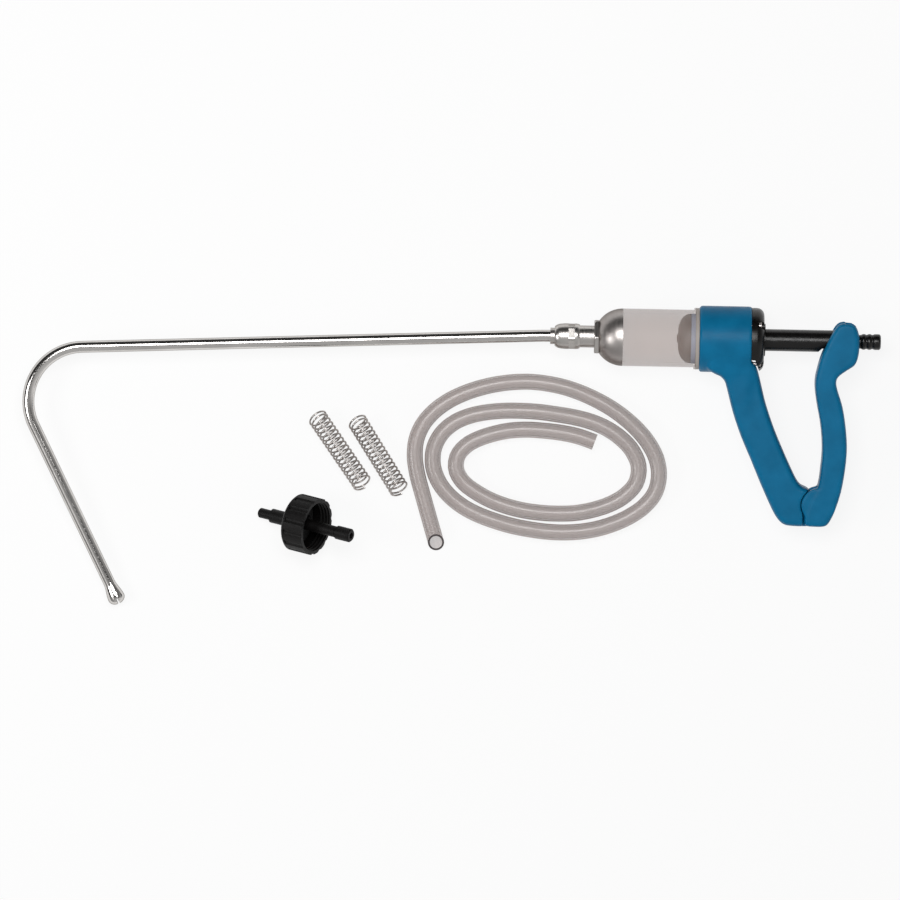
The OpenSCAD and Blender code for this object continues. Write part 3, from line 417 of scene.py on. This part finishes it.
tree.links.new(flange_tone.outputs["Result"], shader.inputs["Base Color"])
print("finishes so far:", len(bpy.data.materials))

# %% [markdown]
# ## Feed hose
# About a metre of clear vinyl hose, lying in a loose flat spiral, with one end cut square and the other
# on a slant, so its dark cut ring shows from above. A curve with a round bevel could stand for it, but
# a grid gives a true tube: an outer skin, a bore and two ring ends. It is carried along the same
# route as the CAD solid. For the slant, points of the first rings are pushed along by their height.

# %% The hose's route on the table
HOSE_RINGS = 280
hose_points = np.array([
    [-207.2, -167], [-211.2, -153.8], [-215.2, -140.6], [-219.2, -127.2], [-223, -114], [-225.4, -100.2],
    [-224.8, -86.4], [-220, -73.6], [-211.4, -62.8], [-200.4, -54.2], [-188.2, -47.8], [-175.2, -43],
    [-161.8, -39.6], [-148.2, -37.6], [-134.2, -37], [-120.4, -38.2], [-106.8, -40.8], [-93.6, -45],
    [-81, -50.4], [-68.8, -57], [-57.4, -65], [-47, -74.2], [-38.2, -84.8], [-31.8, -97],
    [-29.6, -110.6], [-32.6, -124], [-41, -135], [-52.2, -143.2], [-64.6, -149.2], [-77.8, -153.6],
    [-91.4, -156.2], [-105.2, -157.2], [-119, -156.8], [-132.8, -155.2], [-146.4, -152.8],
    [-159.8, -149.2], [-173, -144.6], [-185.6, -138.4], [-196.8, -129.9], [-205.6, -119.2],
    [-210.6, -106.4], [-210.4, -92.4], [-204.4, -79.8], [-194, -70.6], [-181.4, -65], [-167.8, -62],
    [-154.2, -60.6], [-140.2, -60.4], [-126.4, -61], [-112.6, -62.6], [-99, -64.6], [-85.4, -67.8],
    [-72.6, -73], [-61, -80.6], [-51.4, -90.6], [-46, -103.2], [-48, -116.6], [-57, -127], [-68.8, -134],
    [-82, -138.6], [-95.6, -141.4], [-109.4, -142.2], [-123.2, -141.8], [-137, -140.2], [-150.4, -137.2],
    [-163.4, -132.7], [-175.6, -126.4], [-186.2, -118.6], [-192.2, -108.4], [-191.2, -97.4],
    [-184.2, -88.9], [-174.6, -83.4], [-162.6, -79.2], [-149.8, -76.4], [-136, -75.4], [-122.2, -76],
    [-108.4, -77.4], [-94.8, -80], [-81.6, -84.4]], float)


def smooth_route(points, steps=12):
    """A curve through the points: on each span a cubic whose slope at a point follows its neighbours."""
    padded = np.vstack([points[:1], points, points[-1:]])
    a, b, c, d = padded[:-3, None], padded[1:-2, None], padded[2:-1, None], padded[3:, None]
    t = np.linspace(0, 1, steps, endpoint=False)[None, :, None]
    curve = 0.5 * (2 * b + (c - a) * t + (2 * a - 5 * b + 4 * c - d) * t**2
                   + (3 * b - a - 3 * c + d) * t**3)
    return np.vstack([curve.reshape(-1, points.shape[1]), points[-1:]])


def even_route(route, count):
    """The same route with its points at equal distances along it, and its length."""
    step = np.linalg.norm(np.diff(route, axis=0), axis=1)
    along = np.concatenate([[0], np.cumsum(step)])
    want = np.linspace(0, along[-1], count)
    return np.stack([np.interp(want, along, route[:, k]) for k in range(route.shape[1])], -1), along[-1]


hose_route, hose_length = even_route(smooth_route(hose_points), HOSE_RINGS)
print("hose length in millimetres:", round(hose_length, 1))


# %% Tubes along a path
def on_table(points):
    """Millimetres on the table, measured from the point below the collar's front, as metres."""
    return np.asarray(points, float) * MM + np.array([gun_origin[0], gun_origin[1], 0])


def swept_grid(centres, outward, upward, radius, sides):
    """Rings of points round a path: centre plus radius times cosine of outward and sine of upward."""
    a = np.linspace(0, 2 * np.pi, sides, endpoint=False)[None, :, None]
    return centres[:, None] + radius * (np.cos(a) * outward[:, None] + np.sin(a) * upward[:, None])


def tube_piece(name, centres, outward, upward, radius, bore, sides, place, shear=0.0):
    """A tube: rings of the outer skin, then rings of the bore the other way, closed on themselves.

    A shear per ring moves its points along the tube by that vector times their height over the centre.
    """
    skin, inner = (swept_grid(centres, outward, upward, r, sides) for r in (radius, bore))
    skin, inner = (rings + shear * (rings - centres[:, None])[..., 2:] for rings in (skin, inner))
    return add_piece(name, np.concatenate([skin, inner[::-1]]), place, crease=40.0)


def flat_frames(route, height):
    """Centres of a route that lies flat, with the directions to its side, upward and along at each."""
    slope = np.gradient(route, axis=0)
    slope /= np.linalg.norm(slope, axis=1, keepdims=True)
    level = np.zeros(len(route))
    centres = np.column_stack([route, level + height])
    outward = np.column_stack([slope[:, 1], -slope[:, 0], level])
    upward = np.tile([0.0, 0.0, 1.0], (len(route), 1))
    return centres, outward, upward, np.column_stack([slope, level])


HOSE_D = 13.0
hose_centres, hose_out, hose_up, hose_slope = flat_frames(hose_route, HOSE_D / 2)
print("rings of the hose:", len(hose_centres))

# %% The hose with its slanted end
HOSE_BORE = 10.0
HOSE_SIDES = 40
SLANT = 1.0
SLANT_L = 20.0
CUT_END, BORE_SKIN = 1, 2
slanted = SLANT * np.clip(1 - np.linspace(0, hose_length, HOSE_RINGS) / SLANT_L, 0, 1)
feed_hose = tube_piece("feed_hose", hose_centres, hose_out, hose_up, HOSE_D / 2, HOSE_BORE / 2, HOSE_SIDES,
                       on_table, (hose_slope * slanted[:, None])[:, None])
wear(feed_hose, "gun", clear_vinyl, "clear_vinyl", "hose")
feed_hose.data.materials.append(cut_vinyl)
feed_hose.data.materials.append(clear_bore)
face_finish = np.zeros(len(feed_hose.data.polygons), np.int32)
face_finish[-HOSE_SIDES:] = CUT_END
face_finish[HOSE_RINGS * HOSE_SIDES:(2 * HOSE_RINGS - 1) * HOSE_SIDES] = BORE_SKIN
feed_hose.data.polygons.foreach_set("material_index", face_finish)
print("faces of skin, cut end and bore:", np.bincount(face_finish))

# %% [markdown]
# ## Anti-kink springs
# Two open coils of thin wire that slide over the hose ends. A helix is a circle whose height grows
# with its angle. The Screw modifier could wind one too, but the formula also gives the closer end
# turns of a wound spring, and the lean of its turns as the slack coil lies on the table.

# %% A coil of wire
WIRE = 1.5
WIRE_SIDES = 10
HOSE_PLAY = 0.2
COIL_R = HOSE_D / 2 + WIRE / 2 + HOSE_PLAY
COIL_L = 66.0
COIL_TURNS = 18
COIL_STEPS = 40
COIL_LEAN = -0.5
END_PITCH = WIRE + 0.6


def coil_rise(turn):
    """Height of the wire: a close end turn, even turns between, and a close end turn."""
    last = COIL_L - WIRE
    return np.interp(turn, [0, 1, COIL_TURNS - 1, COIL_TURNS], [0, END_PITCH, last - END_PITCH, last])


def helix(radius, turns, rise, lean):
    """Centres of a helix round X, with the outward direction and the axis at each.

    The outward direction turns by the angle, and X follows the rise. A lean moves each point along X
    by that share of its height.
    """
    t = np.linspace(0, turns, turns * COIL_STEPS + 1)
    a = 2 * np.pi * t
    outward = np.column_stack([np.zeros_like(a), np.sin(a), -np.cos(a)])
    axis = np.tile([1.0, 0.0, 0.0], (len(a), 1))
    along = rise(t) + lean * outward[:, 2] * radius
    return outward * radius + along[:, None] * axis, outward, axis


coil_frames = helix(COIL_R, COIL_TURNS, coil_rise, COIL_LEAN)
print("rings of a coil:", len(coil_frames[0]))

# %% Two coils on the table
COIL_PLACES = [((-304.4, -68.6), -54.5), ((-272.4, -71.2), -57.0)]


def wire_piece(name, centres, outward, upward, radius, sides, place):
    """A solid wire: rings round its path, with a shrunken ring at each end that closes it."""
    skin = swept_grid(centres, outward, upward, radius, sides)
    start, end = (np.repeat(centres[k][None, None], sides, 1) for k in (0, -1))
    return add_piece(name, np.concatenate([start, skin, end]), place, crease=50.0, close_rows=False)


def laid_coil(at, heading):
    """A place on the table for a coil: turned to its heading and resting on its wire."""
    c, s = math.cos(heading), math.sin(heading)
    turn = np.array([[c, -s, 0], [s, c, 0], [0, 0, 1]])
    return lambda points: on_table(points @ turn.T + np.array([at[0], at[1], COIL_R + WIRE / 2]))


for number, (at, heading) in enumerate(COIL_PLACES, 1):
    laid = laid_coil(at, math.radians(heading))
    coil = wire_piece(f"kink_coil_{number}", *coil_frames, WIRE / 2, WIRE_SIDES, laid)
    wear(coil, "gun", spring_steel, "steel", f"hose_spring_{number}")
    print("faces of", coil.name, len(coil.data.polygons))

# %% [markdown]
# ## Nozzle
# A chromed steel tube: a long run, one wide hook and a straight leg, so the dose goes over the
# animal's tongue. A tube bender works in straight legs and arcs, so the centre line here is a chain
# of them, and a ring is carried along. The chain lies in a plane, which is rolled about the barrel
# axis until the tip rests on the table.

# %% The tube's centre line
STEM_FRONT = -110.0
BEND_STEPS, LEG_STEPS = 40, 8
WIDE_BEND = 30
tube_legs = [(8.9, 0), (250, 2.5), (364, 0), (44, 114), (140, 0)]


def chained(legs, start, heading):
    """Points along legs of (length, 0) and bends of (radius, degrees), with the heading at each."""
    points, angles = [], []
    at, angle = np.array(start, float), math.radians(heading)
    for size, bend in legs:
        turn = math.radians(bend)
        t = np.linspace(0, 1, BEND_STEPS if bend > WIDE_BEND else LEG_STEPS)
        if bend == 0:
            span = at + size * t[:, None] * np.array([math.cos(angle), math.sin(angle)])
        else:
            a = angle + turn * t
            span = at + size * np.column_stack([np.sin(a) - math.sin(angle), math.cos(angle) - np.cos(a)])
        points.append(span[:-1])
        angles.append((angle + turn * t)[:-1])
        at, angle = span[-1], angle + turn
    return np.vstack(points + [at[None]]), np.concatenate(angles + [[angle]])


tube_line, tube_angles = chained(tube_legs, start=(STEM_FRONT, 0), heading=180)
print("points of the nozzle's centre line:", len(tube_line))

# %% The hooked tube
TUBE_D = 9.5
TUBE_WALL = 1.0
TUBE_SIDES = 48
TIP_D = 13.8
TIP_WIDEST = 13.48
tip_drop = tube_line[-1, 1] + TIP_WIDEST * math.sin(tube_angles[-1])
nozzle_roll = math.asin((axis_z / MM - TIP_D / 2) / -tip_drop)


def on_nozzle(points):
    """Millimetres in the nozzle's own plane, rolled until its tip rests on the table, as metres."""
    return np.asarray(points, float) @ turn_x(nozzle_roll).T * MM + gun_origin


level = np.zeros(len(tube_line))
tube_centres = np.column_stack([tube_line, level])
tube_out = np.column_stack([np.sin(tube_angles), -np.cos(tube_angles), level])
tube_up = np.tile([0.0, 0.0, 1.0], (len(tube_line), 1))
hook_tube = tube_piece("hook_tube", tube_centres, tube_out, tube_up, TUBE_D / 2, TUBE_D / 2 - TUBE_WALL,
                       TUBE_SIDES, on_nozzle)
wear(hook_tube, "nozzle", chrome, "chrome", "nozzle_tube")
print("nozzle roll in degrees:", round(math.degrees(nozzle_roll), 3))

# %% [markdown]
# ## Moulded and machined pieces
# Handle, lever, dome, cap, piston and small fittings have their full shape in the CAD model, so
# modelling them again would only risk a mismatch. Each is a copy of its CAD solid, with its loose
# triangles joined and shaded smooth. Handle, lever, stem and lock nut have rounded edges on the real
# gun. These four are melted: remade on a fine even grid and smoothed, so their forms run together.

# %% Which piece wears what
# Body, finish and slot of each copied node.
smooth_pieces = {
    "handle_body": ("gun", blue_moulding, "blue_plastic"),
    "trigger_lever": ("lever", blue_moulding, "blue_plastic"),
    "barrel": ("gun", clear_barrel, "clear_plastic"),
    "nose_dome": ("gun", satin_metal, "satin_metal"),
    "outlet_stem": ("gun", nut_metal, "chrome"),
    "lock_nut": ("gun", nut_metal, "chrome"),
    "nozzle_collar": ("nozzle", nut_metal, "chrome"),
    "nozzle_tip": ("nozzle", chrome, "chrome"),
    "rear_cap": ("gun", black_moulding, "black_plastic"),
    "rear_cap_screws": ("gun", spring_steel, "steel"),
    "plunger_rod": ("plunger", black_moulding, "black_plastic"),
    "piston": ("plunger", piston_moulding, "dark_plastic"),
    "piston_ring": ("plunger", ring_seal, "ring_rubber"),
    "inlet_valve": ("inlet_check", piston_moulding, "dark_plastic"),
    "pivot_pin": ("lever", spring_steel, "steel"),
    "draw_off_cap": ("gun", cap_moulding, "black_plastic"),
    "draw_off_fitting": ("gun", cap_moulding, "black_plastic"),
}
COARSE, FINE = 0.9 * MM, 0.35 * MM
# Grain of the even grid, and how often it is smoothed.
melts = {"handle_body": (COARSE, 8), "trigger_lever": (COARSE, 8), "lock_nut": (FINE, 8),
         "outlet_stem": (FINE, 6)}
print("pieces to copy:", len(smooth_pieces), "of which melted:", len(melts))


# %% Smooth copies with their finishes
def smooth_copy(node):
    """A copy of a CAD node: its triangles are joined, lose their flat normals and are shaded smooth."""
    mesh = nodes[node].data.copy()
    mesh.name = node + "_smooth"
    join_points(mesh, same=2e-6, thin=1e-7, turn_outwards=False)
    flat_normals = mesh.attributes.get("custom_normal")
    if flat_normals:
        mesh.attributes.remove(flat_normals)
    shade(mesh, crease=32.0)
    return add_object(node + "_smooth", mesh)


def melt(piece, grain, passes):
    """Remakes the piece on an even grid; each pass moves points halfway to their neighbours' middle."""
    remesh = piece.modifiers.new("grid", "REMESH")
    remesh.mode = "VOXEL"
    remesh.voxel_size = grain
    soft = piece.modifiers.new("soft", "SMOOTH")
    soft.factor = 0.5
    soft.iterations = passes
    ready = piece.evaluated_get(bpy.context.evaluated_depsgraph_get())
    mesh = bpy.data.meshes.new_from_object(ready)
    piece.modifiers.clear()
    piece.data = mesh
    mesh.shade_smooth()


for node, (body, finish, slot) in smooth_pieces.items():
    piece = smooth_copy(node)
    if node in melts:
        melt(piece, *melts[node])
    wear(piece, body, finish, slot, node)
    print("faces of", piece.name, len(piece.data.polygons))

# %% [markdown]
# ## Union nut
# The nut that holds the nozzle: round and swelling from its narrow front to a crest, with six short
# flats for a spanner. A lathe and a mill make the real one, and arrays follow them here: the round
# body is a profile carried round the axis, and the flats are cut where the hexagon is the smaller
# of the two. That keeps the edges crisp where a flat runs out into the round.

# %% Turning a profile
CORNER_STEPS = 4
CORNER_SHARE = 0.45


def softened(profile, radius):
    """A closed profile with each corner replaced by a short curve that starts a radius before it."""
    p = np.asarray(profile, float)
    before, after = np.roll(p, 1, 0) - p, np.roll(p, -1, 0) - p
    length_before = np.linalg.norm(before, axis=1, keepdims=True)
    length_after = np.linalg.norm(after, axis=1, keepdims=True)
    reach = np.minimum(radius, CORNER_SHARE * np.minimum(length_before, length_after))
    start = p + before / length_before * reach
    end = p + after / length_after * reach
    t = np.linspace(0, 1, CORNER_STEPS + 1)[None, :, None]
    curve = (1 - t) ** 2 * start[:, None] + 2 * t * (1 - t) * p[:, None] + t**2 * end[:, None]
    return curve.reshape(-1, 2)


def turned(name, profile, radius, sides, flats=None):
    """A closed profile of places along the axis and radii, carried round the axis X.

    Flats, as a start, an end, a half width and a turn, cut the stretch between the two places to a
    hexagon: its radius is the half width over the cosine of the angle from the nearest flat's middle.
    """
    p = softened(profile, radius)
    a = np.linspace(0, 2 * np.pi, sides, endpoint=False)
    x = np.broadcast_to(p[:, :1], (len(p), sides))
    r = np.repeat(p[:, 1:], sides, 1)
    if flats:
        start, end, half_width, turn = flats
        hexagon = half_width / np.cos((a + turn) % (np.pi / 3) - np.pi / 6)
        r = np.where((x > start) & (x < end), np.minimum(r, hexagon), r)
    return add_piece(name, np.stack([x, r * np.cos(a), r * np.sin(a)], -1), on_gun, crease=35.0)


print("points of a softened square:", len(softened([(0, 1), (1, 1), (1, 2), (0, 2)], 0.1)))

# %% Nut turned round the barrel axis
NUT_CREST = 10.25
NUT_BACK = 20
NUT_BORE = 9.0
NUT_LIP = 6.6
NUT_LIP_L = 3.0
FLAT_START, FLAT_END = 10.95, 16.05
FLAT_HALF_WIDTH = 9.3
FLAT_TURN = math.radians(18)
nut_front = (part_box("union_nut")[0].x - gun_origin[0]) / MM
nut_outer = [(0, 7.8), (1.2, 8.7), (2.8, 9.5), (5, 9.95), (8, 10.2), (10.9, NUT_CREST), (11, NUT_CREST),
             (13.5, NUT_CREST), (16, NUT_CREST), (16.1, NUT_CREST), (18.4, 10.1), (NUT_BACK, 9.5)]
nut_inner = [(NUT_BACK, NUT_BORE), (NUT_LIP_L, NUT_BORE), (NUT_LIP_L, NUT_LIP), (0, NUT_LIP)]
nut_profile = [(nut_front + along, r) for along, r in nut_outer + nut_inner]
nut_flats = (nut_front + FLAT_START, nut_front + FLAT_END, FLAT_HALF_WIDTH, FLAT_TURN)
round_nut = turned("round_nut", nut_profile, radius=0.6, sides=144, flats=nut_flats)
wear(round_nut, "gun", nut_metal, "chrome", "union_nut")
print("front of the nut in mm from the collar:", round(nut_front, 3))

# %% [markdown]
# ## Hose barb
# The black tail that the feed hose is pushed on: two round ridges and a longer one at the end, which
# hold the hose. It is turned like the nut, and wider corner curves make its ridges round.

# %% Barb turned round the barrel axis
SHOULDER, RIDGE, NECK, MOUTH, BARB_BORE = 7, 6.35, 5.5, 5, 3
BARB_FRONT, BARB_END = 124, 145.5
barb_profile = [(BARB_FRONT, SHOULDER), (125.5, SHOULDER), (125.5, NECK), (129.6, NECK), (131, RIDGE),
                (132.6, RIDGE), (134, NECK), (135.5, RIDGE), (137.2, RIDGE), (138.7, NECK), (140.3, RIDGE),
                (144.4, RIDGE), (BARB_END, MOUTH), (BARB_END, BARB_BORE), (BARB_FRONT, BARB_BORE)]
barb = turned("ridged_barb", barb_profile, radius=0.8, sides=72)
wear(barb, "plunger", black_moulding, "black_plastic", "hose_barb")
print("faces of the barb:", len(barb.data.polygons))

# %% [markdown]
# ## Valve springs
# A light coil spring holds each check valve on its seat. When the valve opens, it pushes the spring's
# near end, and the far end stays on its shoulder. A stiff copy would be cut by its valve. Here each
# spring is a smooth copy of its CAD solid with a mesh of its own.

# %% Valve springs as smooth copies
for node, body, slide in (("outlet_valve_spring", "gun", "outlet_valve_slide"),
                          ("inlet_valve_spring", "plunger", "inlet_valve_slide")):
    spring = wear(smooth_copy(node), body, spring_steel, "steel", node)
    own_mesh(spring)

# %% [markdown]
# ## Hidden pieces
# Seals, the gasket, the outlet valve with its seat and the spring at the hinge are inside the gun or
# the cap. Smooth copies of them would never be seen, so the CAD solids stay as they are and only
# get their finishes.

# %% Hidden pieces keep their CAD shape
hidden_finishes = {
    "barrel_front_seal": black_rubber, "barrel_rear_seal": black_rubber, "rod_seal": black_rubber,
    "cap_gasket": black_rubber, "outlet_seat": pale_moulding, "outlet_valve": pale_moulding,
    "return_spring": spring_steel,
}
for node, finish in hidden_finishes.items():
    nodes[node].data.materials.clear()
    nodes[node].data.materials.append(finish)
print("hidden pieces:", len(hidden_finishes))

# %% [markdown]
# ## Table
# A pale table that the camera, metal and clear plastic all see as nearly white, with a little of the
# soft shadow kept. A white sheet lit until it is white would need light that bleaches the blue. So
# the table glows for the rays that look at it, and is plain grey-white for the light itself.

# %% Table
HALF_TABLE = 6.0
TABLE_DROP = 0.0005
TABLE_TONE = (0.85, 0.85, 0.85, 1.0)
SEEN_WHITE = 0.88
corners = np.array([(-1, -1, 0), (1, -1, 0), (1, 1, 0), (-1, 1, 0)]) * HALF_TABLE
table_mesh = bpy.data.meshes.new("table")
table_mesh.from_pydata(corners.tolist(), [], [(0, 1, 2, 3)])
table = add_object("table", table_mesh)
table.location.z = -TABLE_DROP
table_finish, tree, shader = start_finish("table_finish", Base_Color=TABLE_TONE, Roughness=0.9)
rays = tree.nodes.new("ShaderNodeLightPath")
looking = math_of(tree, "MAXIMUM", rays.outputs["Is Camera Ray"], rays.outputs["Is Glossy Ray"])
looking = math_of(tree, "MAXIMUM", looking, rays.outputs["Is Transmission Ray"])
white = tree.nodes.new("ShaderNodeEmission")
mix = tree.nodes.new("ShaderNodeMixShader")
tree.links.new(math_of(tree, "MULTIPLY", looking, SEEN_WHITE), mix.inputs["Fac"])
tree.links.new(shader.outputs[0], mix.inputs[1])
tree.links.new(white.outputs[0], mix.inputs[2])
tree.links.new(mix.outputs[0], tree.nodes["Material Output"].inputs["Surface"])
table.data.materials.append(table_finish)
print("table width in metres:", 2 * HALF_TABLE)

# %% [markdown]
# ## Sky and lamps
# The studio is a bright window over a room that is lit on its near side and dark on its far side, so
# chrome shows a dark band along its far edge. A picture of a studio could light the scene, but
# three even changes are enough: from near to far, darker to the left, and lighter to the right.
# For a world, Generated is the direction that a ray looks in. The lamps are a large window above, a
# strip at the left for the dome, and a weak one for the hook's leg.

# %% Sky
NEAR_SKY, FAR_SKY = 0.5, 0.03
NEAR_ENDS, FAR_STARTS = -0.3, -0.04
LEFT_LOSS, RIGHT_GAIN = -0.3, 0.4
RIGHT_STARTS = 0.45
scene = bpy.context.scene
scene.view_settings.view_transform = "Standard"
world = bpy.data.worlds.new("studio")
scene.world = world
world.use_nodes = True
sky = world.node_tree
background = sky.nodes["Background"]
background.inputs["Strength"].default_value = 1.0
direction = sky.nodes.new("ShaderNodeTexCoord")
split = sky.nodes.new("ShaderNodeSeparateXYZ")
sky.links.new(direction.outputs["Generated"], split.inputs[0])
near = range_of(sky, split.outputs["Y"], NEAR_SKY, FAR_SKY, NEAR_ENDS, FAR_STARTS)
left = range_of(sky, split.outputs["X"], LEFT_LOSS, 0.0, -1.0, 0.0)
right = range_of(sky, split.outputs["X"], 0.0, RIGHT_GAIN, RIGHT_STARTS, 1.0)
tone = math_of(sky, "ADD", math_of(sky, "ADD", near, left), right)
sky.links.new(math_of(sky, "MAXIMUM", tone, FAR_SKY), background.inputs["Color"])
print("sky:", NEAR_SKY, "on the near side,", FAR_SKY, "on the far side")

# %% Lamps
LAMPS = {
    "window": dict(place=(-0.15, 0.5, 2.0), size=(1.2, 0.8), power=26.0, aim=(-0.15, 0.1, 0)),
    "side_strip": dict(place=(-1.25, -0.12, 1.06), size=(0.6, 0.5), power=7.0, aim=(-0.1, 0.0, 0)),
    "leg_strip": dict(place=(-1.21, -0.68, 1.06), size=(0.4, 0.3), power=0.35, aim=(-0.28, -0.03, 0)),
}


def add_lamp(name, place, size, power, aim):
    """An oblong soft lamp that faces its aim: tilted by the slope to it, and turned to its side."""
    data = bpy.data.lights.new(name, "AREA")
    data.shape = "RECTANGLE"
    data.size, data.size_y = size
    data.energy = power
    lamp = add_object(name, data)
    lamp.location = place
    to = np.array(aim, float) - np.array(place, float)
    lamp.rotation_euler = (math.atan2(math.hypot(to[0], to[1]), -to[2]), 0, math.atan2(-to[0], to[1]))


for name, lamp in LAMPS.items():
    add_lamp(name, **lamp)
